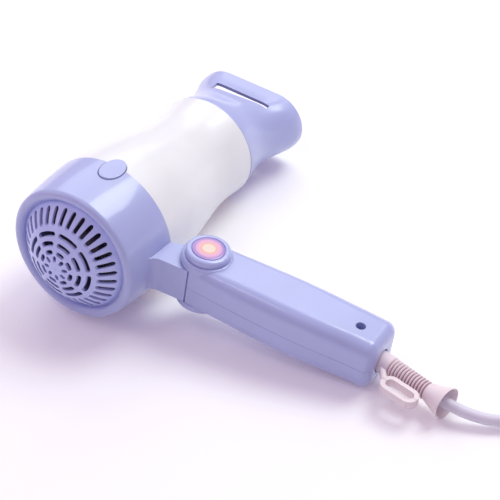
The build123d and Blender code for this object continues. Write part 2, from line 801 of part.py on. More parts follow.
# Cord coil: half turns that spiral in on the lower layer, climb, and spiral out on the upper layer
coil_start = Vector(*lead_points[-1])
coil_plane = Plane(coil_start, x_dir=coil_start - Vector(*lead_points[-2]))
half_step = cord_pitch / 2
inward = [coil_outer - half_step * k for k in range(7)]
climb_radius = inward[-1] - half_step
outward = [climb_radius + half_step * k for k in range(1, 7)]
with BuildPart() as cord_coil:
    with BuildLine(coil_plane) as coil_path:
        across = 0
        side = 1
        for radius in inward:
            CenterArc((0, across + side * radius), radius, -90 * side, 180)
            across += side * 2 * radius
            side = -side
    foot = coil_plane.from_local_coords(Vector(0, across, 0))
    head = coil_plane.from_local_coords(Vector(0, across - 2 * climb_radius, layer_pitch))
    with BuildLine() as climb_path:
        TangentArc(foot, head, tangent=-coil_plane.x_dir)
    with BuildLine(coil_plane.offset(layer_pitch)) as upper_path:
        across -= 2 * climb_radius
        side = 1
        for radius in outward:
            CenterArc((0, across + side * radius), radius, -90 * side, 180)
            across += side * 2 * radius
            side = -side
    coil_wire = Wire(coil_path.edges() + climb_path.edges() + upper_path.edges())
    with BuildSketch(Plane(coil_start, z_dir=coil_plane.x_dir)):
        Circle(cord_diameter / 2)
    sweep(path=coil_wire)
cord_coil.part.label = "cord_coil"
export_step(cord_coil.part, "parts/cord_coil.step")

# The coil's least gap to itself, from points along its path
coil_length = coil_wire.length
count = int(coil_length / 2)
marks = [coil_wire @ (k / count) for k in range(count + 1)]
apart = int(3 * cord_diameter / (coil_length / count))
nearest = min(
    (marks[i] - marks[j]).length for i in range(len(marks)) for j in range(i + apart, len(marks))
)
print("coil length", round(coil_length, 1), "least gap", round(nearest - cord_diameter, 2))

# Cord tail from the upper layer to the plug
tail_route = (tuple(coil_wire @ 1),) + tail_points
tail_radii = corner_radii(tail_route)
print("tail radii", [round(radius, 1) for radius in tail_radii])
with BuildPart() as cord_tail:
    with BuildLine() as tail_path:
        FilletPolyline(*tail_route, radius=tail_radii)
    with BuildSketch(Plane(tail_path.line @ 0, z_dir=tail_path.line % 0)):
        Circle(cord_diameter / 2)
    sweep()
cord_tail.part.label = "cord_tail"
export_step(cord_tail.part, "parts/cord_tail.step")
section = pi * cord_diameter**2 / 4
tubes = ((cord_lead, lead_path.wire()), (cord_coil, coil_wire), (cord_tail, tail_path.wire()))
for tube, path in tubes:
    share = tube.part.volume / (section * path.length)
    print(tube.part.label, "length", round(path.length, 1), "volume share", round(share, 3))

# Tie: flat band round the turns on the far side of the coil
band = Plane(coil_plane.location * Location((0, coil_outer, 0), (0, 0, 60)))
band_inner = climb_radius - cord_diameter / 2 - 1.2
band_outer = coil_outer + cord_diameter / 2 + 0.6
band_height = layer_pitch + cord_diameter + 2.2
with BuildPart() as cord_tie:
    with BuildSketch(Plane(band.origin, x_dir=band.x_dir, z_dir=band.y_dir).offset(-3)):
        with Locations(((band_inner + band_outer) / 2, -layer_pitch / 2)):
            RectangleRounded(band_outer - band_inner + 2 * tie_thickness, band_height, 3)
            RectangleRounded(
                band_outer - band_inner,
                band_height - 2 * tie_thickness,
                3 - tie_thickness,
                mode=Mode.SUBTRACT,
            )
    extrude(amount=6)
cord_tie.part.label = "cord_tie"
export_step(cord_tie.part, "parts/cord_tie.step")

# Plug: moulded body and two round pins
plug = Plane(tail_path.line @ 1, x_dir=(0, 0, 1), z_dir=tail_path.line % 1)
with BuildPart() as plug_body:
    with BuildSketch(plug):
        RectangleRounded(plug_neck, plug_neck, 5)
    with BuildSketch(plug.offset(plug_length * 0.45)):
        RectangleRounded(plug_height - 0.6, plug_width * 0.72, 5)
    with BuildSketch(plug.offset(plug_length)):
        RectangleRounded(plug_height, plug_width, 6)
    loft()
    fillet(plug_body.faces().sort_by(Axis(plug.origin, plug.z_dir))[-1].edges(), 1.5)
plug_body.part.label = "plug_body"
export_step(plug_body.part, "parts/plug_body.step")

with BuildPart() as plug_pins:
    with BuildSketch(plug.offset(plug_length)):
        with GridLocations(0, prong_spacing, 1, 2):
            Circle(prong_radius)
    extrude(amount=prong_length)
    tips = plug_pins.faces().sort_by(Axis(plug.origin, plug.z_dir))[-2:]
    fillet(tips.edges(), 1.6)
plug_pins.part.label = "plug_pins"
export_step(plug_pins.part, "parts/plug_pins.step")
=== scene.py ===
"""A folding hair dryer: its finishes, moulded details, cord and a pale studio."""

import json
from math import cos, pi, radians, sin

import bpy
from mathutils import Matrix, Vector


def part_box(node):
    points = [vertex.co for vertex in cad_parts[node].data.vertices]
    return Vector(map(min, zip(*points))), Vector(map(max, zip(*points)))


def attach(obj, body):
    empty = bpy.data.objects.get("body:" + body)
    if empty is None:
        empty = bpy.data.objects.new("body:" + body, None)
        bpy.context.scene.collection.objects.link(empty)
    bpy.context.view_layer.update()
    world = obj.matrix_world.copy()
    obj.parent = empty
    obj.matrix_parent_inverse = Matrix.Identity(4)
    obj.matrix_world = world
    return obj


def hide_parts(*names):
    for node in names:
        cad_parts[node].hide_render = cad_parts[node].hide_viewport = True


bl_info = {
    "name": "Folding hair dryer",
    "version": (1, 0, 0),
    "blender": (4, 5, 0),
    "location": "View3D > Sidebar > Hair dryer",
    "description": "Adds the finishes, soft mouldings, cord and studio of a folding hair dryer",
    "category": "Object",
}

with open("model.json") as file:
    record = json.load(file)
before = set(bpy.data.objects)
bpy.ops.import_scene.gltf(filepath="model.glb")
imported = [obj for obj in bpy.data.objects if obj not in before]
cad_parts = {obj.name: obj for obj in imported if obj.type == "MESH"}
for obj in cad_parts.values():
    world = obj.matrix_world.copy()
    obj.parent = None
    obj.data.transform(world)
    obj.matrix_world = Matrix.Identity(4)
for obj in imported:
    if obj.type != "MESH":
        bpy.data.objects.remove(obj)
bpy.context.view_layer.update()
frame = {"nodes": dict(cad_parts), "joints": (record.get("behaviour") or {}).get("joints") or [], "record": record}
MM = 0.001


# Places of the dryer's own planes, worked out from its joints


def placed(origin, x_dir, y_dir, z_dir):
    """Matrix of a plane with its own axes."""
    turn = Matrix((x_dir, y_dir, z_dir)).transposed().to_4x4()
    return Matrix.Translation(origin) @ turn


def joint(name):
    """A joint of the dryer, by its name."""
    for entry in frame["joints"]:
        if entry["name"] == name:
            return entry
    raise RuntimeError("no joint named " + name)


def upright(origin, x_dir, z_dir):
    """Matrix of a plane from its x and z directions."""
    return placed(origin, x_dir, z_dir.cross(x_dir), z_dir)


barrel_line = Vector(joint("nozzle_swivel")["axis"])
hinge_line = Vector(joint("handle_fold")["axis"])
handle_line = Vector(joint("switch_slide")["axis"])
DRYER = upright(joint("nozzle_swivel")["pos_m"], barrel_line.cross(hinge_line), hinge_line)
HINGE = upright(joint("handle_fold")["pos_m"], handle_line, hinge_line)
HANDLE_LENGTH = 98.6 * MM
SCREW_AT = 84.7 * MM
RELIEF_LIFT = radians(4.3)
RELIEF_TURN = radians(14.2)
GRIP = placed((HANDLE_LENGTH, 0.0, 0.0), (0.0, 1.0, 0.0), (0.0, 0.0, 1.0), (1.0, 0.0, 0.0))
LIFTED = HINGE @ GRIP @ Matrix.Rotation(-RELIEF_LIFT, 4, "X")
RELIEF = LIFTED @ Matrix.Rotation(-RELIEF_TURN, 4, "Y")

# Route of the cord from inside the bell to the coil, and from the coil to the plug
BELL_INSIDE = RELIEF @ Vector((0.0, 0.0, 29.6 * MM))
BELL_MOUTH = RELIEF @ Vector((0.0, 0.0, 41.6 * MM))
LEAD = (
    tuple(BELL_INSIDE),
    tuple(BELL_MOUTH),
    (0.1488, -0.0434, 0.0054),
    (0.1600, -0.0394, 0.0044),
    (0.1760, -0.0284, 0.0042),
    (0.1916, -0.0177, 0.0041),
    (0.2051, -0.0141, 0.0041),
)
TAIL = (
    (0.2170, -0.00425, 0.0106),
    (0.2320, -0.0015, 0.0104),
    (0.2450, 0.0022, 0.0076),
    (0.2570, 0.0066, 0.0076),
)
COIL_START = Vector(LEAD[-1])
COIL_ALONG = (COIL_START - Vector(LEAD[-2])).normalized()
COIL_LEFT = Vector((-COIL_ALONG.y, COIL_ALONG.x, 0.0))
HALF_TURNS = 7
PLUG = upright(TAIL[-1], Vector((0.0, 0.0, 1.0)), Vector(frame["record"]["mounts"][0]["axis"]))

# The view, in the dryer's own plane
VIEW_AIM = (64.09 * MM, 31.83 * MM, 0.0)
VIEW_TURN = radians(27.09)
VIEW_TILT = radians(90.0 - 40.6)
VIEW_ROLL = radians(10.0)
VIEW_DISTANCE = 1.0
VIEW_LENS = 143.28

# Glow of the floor and of the backdrop
FLOOR_GLOW = (0.86, 0.62, 0.9, 1.0)
FLOOR_GLOW_STRENGTH = 0.12
BACKDROP_GLOW = (0.96, 0.76, 1.0, 1.0)
BACKDROP_STRENGTH = 0.45

# Softboxes: name, place, width and depth, power and tint
SOFTBOXES = (
    ("key_softbox", (0.35, 0.85, 1.35), (0.8, 0.8), 14.2, (0.91, 1.0, 0.94)),
    ("back_softbox", (-0.75, 1.05, 1.2), (1.3, 1.3), 9.0, (0.91, 1.0, 0.98)),
    ("side_softbox", (-1.2, -0.75, 0.8), (0.9, 0.9), 3.0, (1.0, 0.9, 1.0)),
    ("strip_softbox", (-0.28, -0.45, 1.25), (0.5, 0.12), 1.0, (1.0, 0.96, 1.0)),
)


class DryerSizes(bpy.types.PropertyGroup):
    """Sizes of the pieces that are modelled here."""

    cord_diameter: bpy.props.FloatProperty(
        name="Cord diameter",
        description="Outside of the round cord",
        default=5.8 * MM,
        unit="LENGTH",
    )
    cord_length: bpy.props.FloatProperty(
        name="Cord length", description="From the handle to the plug", default=1.608, unit="LENGTH"
    )
    coil_radius: bpy.props.FloatProperty(
        name="Coil radius", description="First turn of the coil", default=44.5 * MM, unit="LENGTH"
    )
    turn_pitch: bpy.props.FloatProperty(
        name="Turn pitch", description="From one turn to the next", default=6.4 * MM, unit="LENGTH"
    )
    layer_pitch: bpy.props.FloatProperty(
        name="Layer pitch",
        description="From the lower to the upper layer",
        default=6.5 * MM,
        unit="LENGTH",
    )
    rib_count: bpy.props.IntProperty(
        name="Relief ribs", description="Ribs on the strain relief", default=12, min=4, max=20
    )


class DryerColours(bpy.types.PropertyGroup):
    """Colours of the finishes."""

    shell: bpy.props.FloatVectorProperty(
        name="Shell",
        description="Lavender mouldings",
        subtype="COLOR",
        default=(0.44, 0.482, 0.785),
    )
    barrel: bpy.props.FloatVectorProperty(
        name="Barrel", description="White barrel", subtype="COLOR", default=(0.86, 0.868, 0.868)
    )
    vinyl: bpy.props.FloatVectorProperty(
        name="Vinyl",
        description="Strain relief and plug",
        subtype="COLOR",
        default=(0.88, 0.77, 0.80),
    )
    cord: bpy.props.FloatVectorProperty(
        name="Cord", description="Cord sheath", subtype="COLOR", default=(0.75, 0.715, 0.82)
    )
    floor: bpy.props.FloatVectorProperty(
        name="Floor", description="Studio floor", subtype="COLOR", default=(0.95, 0.965, 0.945)
    )


# Materials


def start_material(name, roughness):
    """A material with its shader and the object's coordinates."""
    material = bpy.data.materials.new(name)
    material.use_nodes = True
    shader = material.node_tree.nodes["Principled BSDF"]
    shader.inputs["Roughness"].default_value = roughness
    place = material.node_tree.nodes.new("ShaderNodeTexCoord")
    return material, material.node_tree, shader, place.outputs["Object"]


def noise(tree, coordinates, scale, detail=2.0):
    """A noise texture on the piece."""
    node = tree.nodes.new("ShaderNodeTexNoise")
    node.inputs["Scale"].default_value = scale
    node.inputs["Detail"].default_value = detail
    tree.links.new(coordinates, node.inputs["Vector"])
    return node.outputs["Fac"]


def tones(tree, factor, stops):
    """A colour ramp through the given stops."""
    ramp = tree.nodes.new("ShaderNodeValToRGB")
    marks = ramp.color_ramp.elements
    while len(marks) < len(stops):
        marks.new(0.5)
    for mark, (at, colour) in zip(marks, stops):
        mark.position = at
        mark.color = (*colour, 1.0)
    tree.links.new(factor, ramp.inputs["Fac"])
    return ramp.outputs["Color"]


def spread(tree, factor, low, high):
    """A factor moved to the range from low to high."""
    node = tree.nodes.new("ShaderNodeMapRange")
    node.inputs["From Min"].default_value = 0.3
    node.inputs["From Max"].default_value = 0.7
    node.inputs["To Min"].default_value = low
    node.inputs["To Max"].default_value = high
    tree.links.new(factor, node.inputs["Value"])
    return node.outputs["Result"]


def relief_bump(tree, shader, height, strength, distance):
    """Fine surface relief."""
    bump = tree.nodes.new("ShaderNodeBump")
    bump.inputs["Strength"].default_value = strength
    bump.inputs["Distance"].default_value = distance
    tree.links.new(height, bump.inputs["Height"])
    tree.links.new(bump.outputs["Normal"], shader.inputs["Normal"])


def seen_rays(tree, strength):
    """A strength that the camera, gloss and clear pieces see, and that lights nothing."""
    path = tree.nodes.new("ShaderNodeLightPath")
    total = path.outputs["Is Camera Ray"]
    for kind in ("Is Glossy Ray", "Is Transmission Ray"):
        both = tree.nodes.new("ShaderNodeMath")
        both.operation = "MAXIMUM"
        tree.links.new(total, both.inputs[0])
        tree.links.new(path.outputs[kind], both.inputs[1])
        total = both.outputs["Value"]
    level = tree.nodes.new("ShaderNodeMath")
    level.operation = "MULTIPLY"
    level.inputs[1].default_value = strength
    tree.links.new(total, level.inputs[0])
    return level.outputs["Value"]


def shaded(colour, amount):
    """A colour made lighter or darker."""
    return tuple(min(1.0, part * amount) for part in colour)


def moulded_plastic(name, colour, roughness, coat=0.0):
    """Satin moulded plastic: faint flow marks, a fine mould texture and uneven gloss."""
    material, tree, shader, place = start_material(name, roughness)
    cloud = noise(tree, place, 26.0, 3.0)
    colours = tones(
        tree, cloud, ((0.3, shaded(colour, 0.95)), (0.5, colour), (0.7, shaded(colour, 1.04)))
    )
    tree.links.new(colours, shader.inputs["Base Color"])
    grain = noise(tree, place, 2600.0, 2.0)
    gloss = noise(tree, place, 90.0, 3.0)
    uneven = spread(tree, gloss, roughness - 0.02, roughness + 0.02)
    tree.links.new(uneven, shader.inputs["Roughness"])
    relief_bump(tree, shader, grain, 0.12, 0.00006)
    shader.inputs["Coat Weight"].default_value = coat
    shader.inputs["Coat Roughness"].default_value = 0.1
    return material


def vinyl_skin(tree, shader, place):
    """The pebbled skin of soft vinyl, with a little light under it."""
    relief_bump(tree, shader, noise(tree, place, 1500.0, 2.0), 0.2, 0.0001)
    shader.inputs["Subsurface Weight"].default_value = 0.08
    shader.inputs["Subsurface Radius"].default_value = (0.003, 0.002, 0.002)


def soft_vinyl(name, colour, roughness):
    """Soft vinyl: matt, with a pebbled skin and slightly uneven colour."""
    material, tree, shader, place = start_material(name, roughness)
    cloud = noise(tree, place, 60.0, 4.0)
    colours = tones(tree, cloud, ((0.3, shaded(colour, 0.93)), (0.7, shaded(colour, 1.05))))
    tree.links.new(colours, shader.inputs["Base Color"])
    uneven = spread(tree, cloud, roughness - 0.06, roughness + 0.08)
    tree.links.new(uneven, shader.inputs["Roughness"])
    vinyl_skin(tree, shader, place)
    return material


def plated_metal(name, colour, roughness):
    """Plated metal with fine drawn streaks."""
    material, tree, shader, place = start_material(name, roughness)
    drawn = tree.nodes.new("ShaderNodeMapping")
    drawn.inputs["Scale"].default_value = (40.0, 40.0, 900.0)
    tree.links.new(place, drawn.inputs["Vector"])
    lines = noise(tree, drawn.outputs["Vector"], 1.0, 3.0)
    colours = tones(tree, lines, ((0.3, shaded(colour, 0.86)), (0.7, shaded(colour, 1.08))))
    tree.links.new(colours, shader.inputs["Base Color"])
    uneven = spread(tree, lines, roughness - 0.08, roughness + 0.1)
    tree.links.new(uneven, shader.inputs["Roughness"])
    relief_bump(tree, shader, lines, 0.08, 0.00005)
    shader.inputs["Metallic"].default_value = 1.0
    return material


def mica_sheet(name, colour):
    """Mica board: flaky speckle and a dull gleam."""
    material, tree, shader, place = start_material(name, 0.42)
    flakes = tree.nodes.new("ShaderNodeTexVoronoi")
    flakes.inputs["Scale"].default_value = 700.0
    tree.links.new(place, flakes.inputs["Vector"])
    colours = tones(
        tree,
        flakes.outputs["Distance"],
        ((0.0, shaded(colour, 1.1)), (0.5, colour), (0.9, shaded(colour, 0.7))),
    )
    tree.links.new(colours, shader.inputs["Base Color"])
    relief_bump(tree, shader, flakes.outputs["Distance"], 0.25, 0.0001)
    return material


def reach_from_axis(tree, coordinates, plane, low, high):
    """A factor that grows with the distance from the axis of a plane, from low to high."""
    centred = tree.nodes.new("ShaderNodeMapping")
    centred.vector_type = "TEXTURE"
    centred.inputs["Location"].default_value = plane.translation
    centred.inputs["Rotation"].default_value = plane.to_euler()
    tree.links.new(coordinates, centred.inputs["Vector"])
    flat = tree.nodes.new("ShaderNodeVectorMath")
    flat.operation = "MULTIPLY"
    flat.inputs[1].default_value = (1.0, 1.0, 0.0)
    tree.links.new(centred.outputs["Vector"], flat.inputs[0])
    reach = tree.nodes.new("ShaderNodeVectorMath")
    reach.operation = "LENGTH"
    tree.links.new(flat.outputs["Vector"], reach.inputs[0])
    share = tree.nodes.new("ShaderNodeMapRange")
    share.inputs["From Min"].default_value = low
    share.inputs["From Max"].default_value = high
    tree.links.new(reach.outputs["Value"], share.inputs["Value"])
    return share.outputs["Result"]


def ribbed_vinyl(name, colour):
    """Soft vinyl of the relief, with painted warm shade down in its grooves."""
    material, tree, shader, place = start_material(name, 0.5)
    # Painted shade: the colour darkens nearer the relief's axis, so the grooves and the bore carry painted shade.
    reach = reach_from_axis(tree, place, RELIEF, 3.7 * MM, 4.9 * MM)
    shade = (colour[0] * 0.62, colour[1] * 0.46, colour[2] * 0.5)
    depth = tones(tree, reach, ((0.0, shade), (0.35, shade), (0.8, colour)))
    cloud = noise(tree, place, 60.0, 4.0)
    patches = tones(tree, cloud, ((0.3, (0.94, 0.93, 0.93)), (0.7, (1.0, 1.0, 1.0))))
    both = tree.nodes.new("ShaderNodeMix")
    both.data_type = "RGBA"
    both.blend_type = "MULTIPLY"
    both.inputs["Factor"].default_value = 1.0
    tree.links.new(depth, both.inputs["A"])
    tree.links.new(patches, both.inputs["B"])
    tree.links.new(both.outputs["Result"], shader.inputs["Base Color"])
    tree.links.new(spread(tree, cloud, 0.44, 0.58), shader.inputs["Roughness"])
    vinyl_skin(tree, shader, place)
    return material


def ringed_print(name):
    """Plain printed rings round the middle of the hinge disc, under a clear coat."""
    material, tree, shader, place = start_material(name, 0.3)
    cream = (0.84, 0.68, 0.56)
    peach = (0.82, 0.44, 0.20)
    pink = (0.72, 0.36, 0.56)
    lilac = (0.36, 0.24, 0.56)
    colours = tones(
        tree,
        reach_from_axis(tree, place, HINGE, 0.0, 8.0 * MM),
        (
            (0.0, cream),
            (0.36, cream),
            (0.46, peach),
            (0.58, shaded(pink, 1.15)),
            (0.78, pink),
            (0.87, lilac),
            (1.0, shaded(lilac, 1.2)),
        ),
    )
    tree.links.new(colours, shader.inputs["Base Color"])
    relief_bump(tree, shader, noise(tree, place, 900.0, 2.0), 0.08, 0.00005)
    shader.inputs["Coat Weight"].default_value = 0.4
    return material


def paint(piece, material):
    """Give a piece one material."""
    piece.data.materials.clear()
    piece.data.materials.append(material)


# Modelling helpers


def clear_selection():
    """Leave the edit mode with nothing selected."""
    if bpy.context.mode != "OBJECT":
        bpy.ops.object.mode_set(mode="OBJECT")
    bpy.ops.object.select_all(action="DESELECT")


def choose(piece):
    """Select one piece and make it active."""
    clear_selection()
    piece.select_set(True)
    bpy.context.view_layer.objects.active = piece


def begin(name):
    """Name the new primitive and open it for editing, all selected."""
    piece = bpy.context.active_object
    piece.name = name
    piece.data.name = name
    bpy.ops.object.mode_set(mode="EDIT")
    bpy.ops.mesh.select_all(action="SELECT")
    return piece


def stretch(width, depth, height):
    """Resize what is selected about the origin, to sizes in millimetres where it was one metre."""
    size = (width * MM, depth * MM, height * MM)
    bpy.ops.transform.resize(value=size, center_override=(0.0, 0.0, 0.0))


def pull_up(distance):
    """Extrude what is selected upward."""
    bpy.ops.mesh.extrude_region_move(TRANSFORM_OT_translate={"value": (0.0, 0.0, distance)})


def draw_out(distance, scale_x, scale_y):
    """Pull the selected ring up and resize it about its axis."""
    pull_up(distance)
    bpy.ops.transform.resize(value=(scale_x, scale_y, 1.0), center_override=(0.0, 0.0, 0.0))


def turned_ring(name, profile, sides):
    """A ring drawn out along a profile of radius and height in millimetres."""
    clear_selection()
    radius, height = profile[0]
    bpy.ops.mesh.primitive_circle_add(
        vertices=sides, radius=radius * MM, fill_type="NOTHING", location=(0.0, 0.0, height * MM)
    )
    piece = begin(name)
    bpy.ops.object.mode_set(mode="OBJECT")
    bpy.ops.object.transform_apply(location=True, rotation=True, scale=True)
    bpy.ops.object.mode_set(mode="EDIT")
    for radius_next, height_next in profile[1:]:
        growth = radius_next / radius
        draw_out((height_next - height) * MM, growth, growth)
        radius, height = radius_next, height_next
    return piece


def close_ring_ends():
    """Join the first and the last ring of a hollow turned piece."""
    bpy.ops.mesh.select_all(action="DESELECT")
    bpy.ops.mesh.select_non_manifold()
    bpy.ops.mesh.bridge_edge_loops()


def fill_open_ends():
    """Close each open end with a face."""
    bpy.ops.mesh.select_all(action="DESELECT")
    bpy.ops.mesh.select_non_manifold()
    bpy.ops.mesh.edge_face_add()


def settle(piece, place, angle=35.0):
    """Point the faces outward, smooth them and put the piece in its place."""
    bpy.ops.mesh.select_all(action="SELECT")
    bpy.ops.mesh.remove_doubles(threshold=0.000002)
    bpy.ops.mesh.normals_make_consistent(inside=False)
    move_to(piece, place)
    smooth(piece, angle)


def apply_modifier(piece, kind, name, **settings):
    """Add a modifier with its settings and apply it."""
    choose(piece)
    modifier = piece.modifiers.new(name, kind)
    for key, value in settings.items():
        setattr(modifier, key, value)
    bpy.ops.object.modifier_apply(modifier=modifier.name)


def move_to(piece, place):
    """Put the piece in its place, in its mesh."""
    choose(piece)
    piece.matrix_world = place
    bpy.ops.object.transform_apply(location=True, rotation=True, scale=True)


def smooth(piece, angle):
    """Smooth the faces that meet under the angle."""
    choose(piece)
    bpy.ops.object.shade_smooth_by_angle(angle=radians(angle))


def remove(piece):
    """Delete a piece that has done its work."""
    clear_selection()
    piece.select_set(True)
    bpy.ops.object.delete()


def weld_on(piece, other):
    """Join another closed shape to the piece."""
    apply_modifier(piece, "BOOLEAN", "weld", operation="UNION", solver="EXACT", object=other)
    remove(other)


def cut_out(piece, cutter):
    """Cut a closed shape out of the piece."""
    apply_modifier(piece, "BOOLEAN", "cut", operation="DIFFERENCE", solver="EXACT", object=cutter)
    remove(cutter)


def dress(piece, material, body, node):
    """Give a finished piece its finish and its body, and hide the node that it stands for."""
    paint(piece, material)
    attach(piece, body)
    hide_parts(node)


# Operators


class DRYER_OT_stage(bpy.types.Operator):
    """Add the floor, the lights and the camera"""

    bl_idname = "dryer.stage"
    bl_label = "Stage"

    def execute(self, context):
        colours = context.scene.dryer_colours
        clear_selection()
        bpy.ops.mesh.primitive_plane_add(size=24.0)
        floor = context.active_object
        floor.name = "floor"
        material, tree, shader, place = start_material("studio_floor", 0.7)
        tint = noise(tree, place, 3.0)
        pale = tuple(colours.floor)
        tree.links.new(
            tones(tree, tint, ((0.2, shaded(pale, 0.99)), (0.8, pale))), shader.inputs["Base Color"]
        )
        shader.inputs["Specular IOR Level"].default_value = 0.15
        shader.inputs["Emission Color"].default_value = FLOOR_GLOW
        glow = seen_rays(tree, FLOOR_GLOW_STRENGTH)
        tree.links.new(glow, shader.inputs["Emission Strength"])
        paint(floor, material)

        data = bpy.data.cameras.new("view_camera")
        data.lens = VIEW_LENS
        data.sensor_width = 36.0
        data.clip_end = 60.0
        camera = bpy.data.objects.new("view_camera", data)
        context.scene.collection.objects.link(camera)
        aim = DRYER @ Matrix.Translation(VIEW_AIM)
        turn = Matrix.Rotation(VIEW_TURN, 4, "Z") @ Matrix.Rotation(VIEW_TILT, 4, "X")
        roll = Matrix.Rotation(VIEW_ROLL, 4, "Z")
        camera.matrix_world = aim @ turn @ roll @ Matrix.Translation((0.0, 0.0, VIEW_DISTANCE))
        context.scene.camera = camera

        for name, at, size, power, tint in SOFTBOXES:
            light = bpy.data.lights.new(name, "AREA")
            light.shape = "RECTANGLE"
            light.size = size[0]
            light.size_y = size[1]
            light.energy = power
            light.color = tint
            lamp = bpy.data.objects.new(name, light)
            lamp.location = at
            lamp.rotation_mode = "QUATERNION"
            lamp.rotation_quaternion = Vector(at).to_track_quat("Z", "Y")
            context.scene.collection.objects.link(lamp)

        world = bpy.data.worlds.new("studio")
        world.use_nodes = True
        backdrop = world.node_tree.nodes["Background"]
        backdrop.inputs["Color"].default_value = BACKDROP_GLOW
        backdrop.inputs["Strength"].default_value = BACKDROP_STRENGTH
        context.scene.world = world
        context.scene.view_settings.view_transform = "Standard"
        return {"FINISHED"}


class DRYER_OT_relief(bpy.types.Operator):
    """Model the ribbed strain relief with its bell and hanging loop"""

    bl_idname = "dryer.relief"
    bl_label = "Strain relief"

    def execute(self, context):
        ribs = context.scene.dryer_sizes.rib_count
        bore, groove = 3.3, 3.8
        loop_long, loop_wide, loop_thick = 21.0, 10.0, 4.4
        ribs_from, ribs_to = 7.4, 28.6
        rib_step = (ribs_to - ribs_from) / ribs
        profile = [(bore, -1.1), (5.0, -1.1), (5.4, -0.7), (5.4, 6.3), (5.3, 6.7), (5.0, 6.9)]
        for k in range(ribs):
            foot = ribs_from + rib_step * k
            crest = 5.2 - 0.6 * k / ribs
            profile.append((groove, foot))
            profile.append((crest - 0.35, foot + 0.2 * rib_step))
            profile.append((crest, foot + 0.36 * rib_step))
            profile.append((crest, foot + 0.6 * rib_step))
            profile.append((crest - 0.35, foot + 0.76 * rib_step))
            profile.append((groove, foot + 0.92 * rib_step))
        profile += [(groove, ribs_to), (4.45, 28.9), (4.7, 29.6), (5.2, 31.2), (5.8, 33.1)]
        profile += [(6.5, 35.1), (7.25, 37.2), (7.82, 38.8), (8.24, 39.9), (8.42, 40.35)]
        profile += [(8.36, 40.6), (8.1, 40.58), (7.8, 40.1), (7.3, 38.9), (6.6, 37.1)]
        profile += [(5.8, 35.2), (5.0, 33.4), (4.2, 31.8), (bore, 30.8), (bore, 20.0)]
        relief = turned_ring("soft_relief", profile, 64)
        close_ring_ends()
        settle(relief, Matrix.Identity(4))

        clear_selection()
        bpy.ops.mesh.primitive_plane_add(size=1.0)
        loop = begin("hanging_loop")
        stretch(loop_long, loop_wide, loop_thick)
        bpy.ops.mesh.bevel(offset=4.97 * MM, segments=14, affect="VERTICES")
        bpy.ops.mesh.select_all(action="SELECT")
        bpy.ops.mesh.inset(thickness=2.35 * MM)
        bpy.ops.mesh.delete(type="FACE")
        bpy.ops.mesh.select_all(action="SELECT")
        pull_up(loop_thick * MM)
        close_ring_ends()
        settle(loop, Matrix.Identity(4))
        apply_modifier(
            loop, "BEVEL", "round_over", width=0.95 * MM, segments=4, limit_method="ANGLE"
        )
        corner = (-10.6 * MM, -loop_thick / 2 * MM, 20.2 * MM)
        move_to(loop, placed(corner, (0.0, 0.0, 1.0), (1.0, 0.0, 0.0), (0.0, 1.0, 0.0)))

        clear_selection()
        bpy.ops.mesh.primitive_cube_add(size=1.0)
        arm = begin("loop_arm")
        stretch(2.9, 4.0, 10.6)
        bpy.ops.mesh.bevel(offset=0.9 * MM, segments=3, affect="EDGES")
        settle(arm, Matrix.Identity(4))
        foot = Vector((-3.2 * MM, 0.0, 3.0 * MM))
        head = Vector((-10.4 * MM, 0.0, 10.9 * MM))
        lean = (head - foot).normalized()
        across = Vector((0.0, 1.0, 0.0)).cross(lean)
        move_to(arm, placed((foot + head) / 2, across, (0.0, 1.0, 0.0), lean))
        for other in (loop, arm):
            weld_on(relief, other)
        move_to(relief, RELIEF)
        smooth(relief, 38.0)
        vinyl = ribbed_vinyl("relief_vinyl_groove_shade", tuple(context.scene.dryer_colours.vinyl))
        dress(relief, vinyl, "handle", "strain_relief")
        return {"FINISHED"}


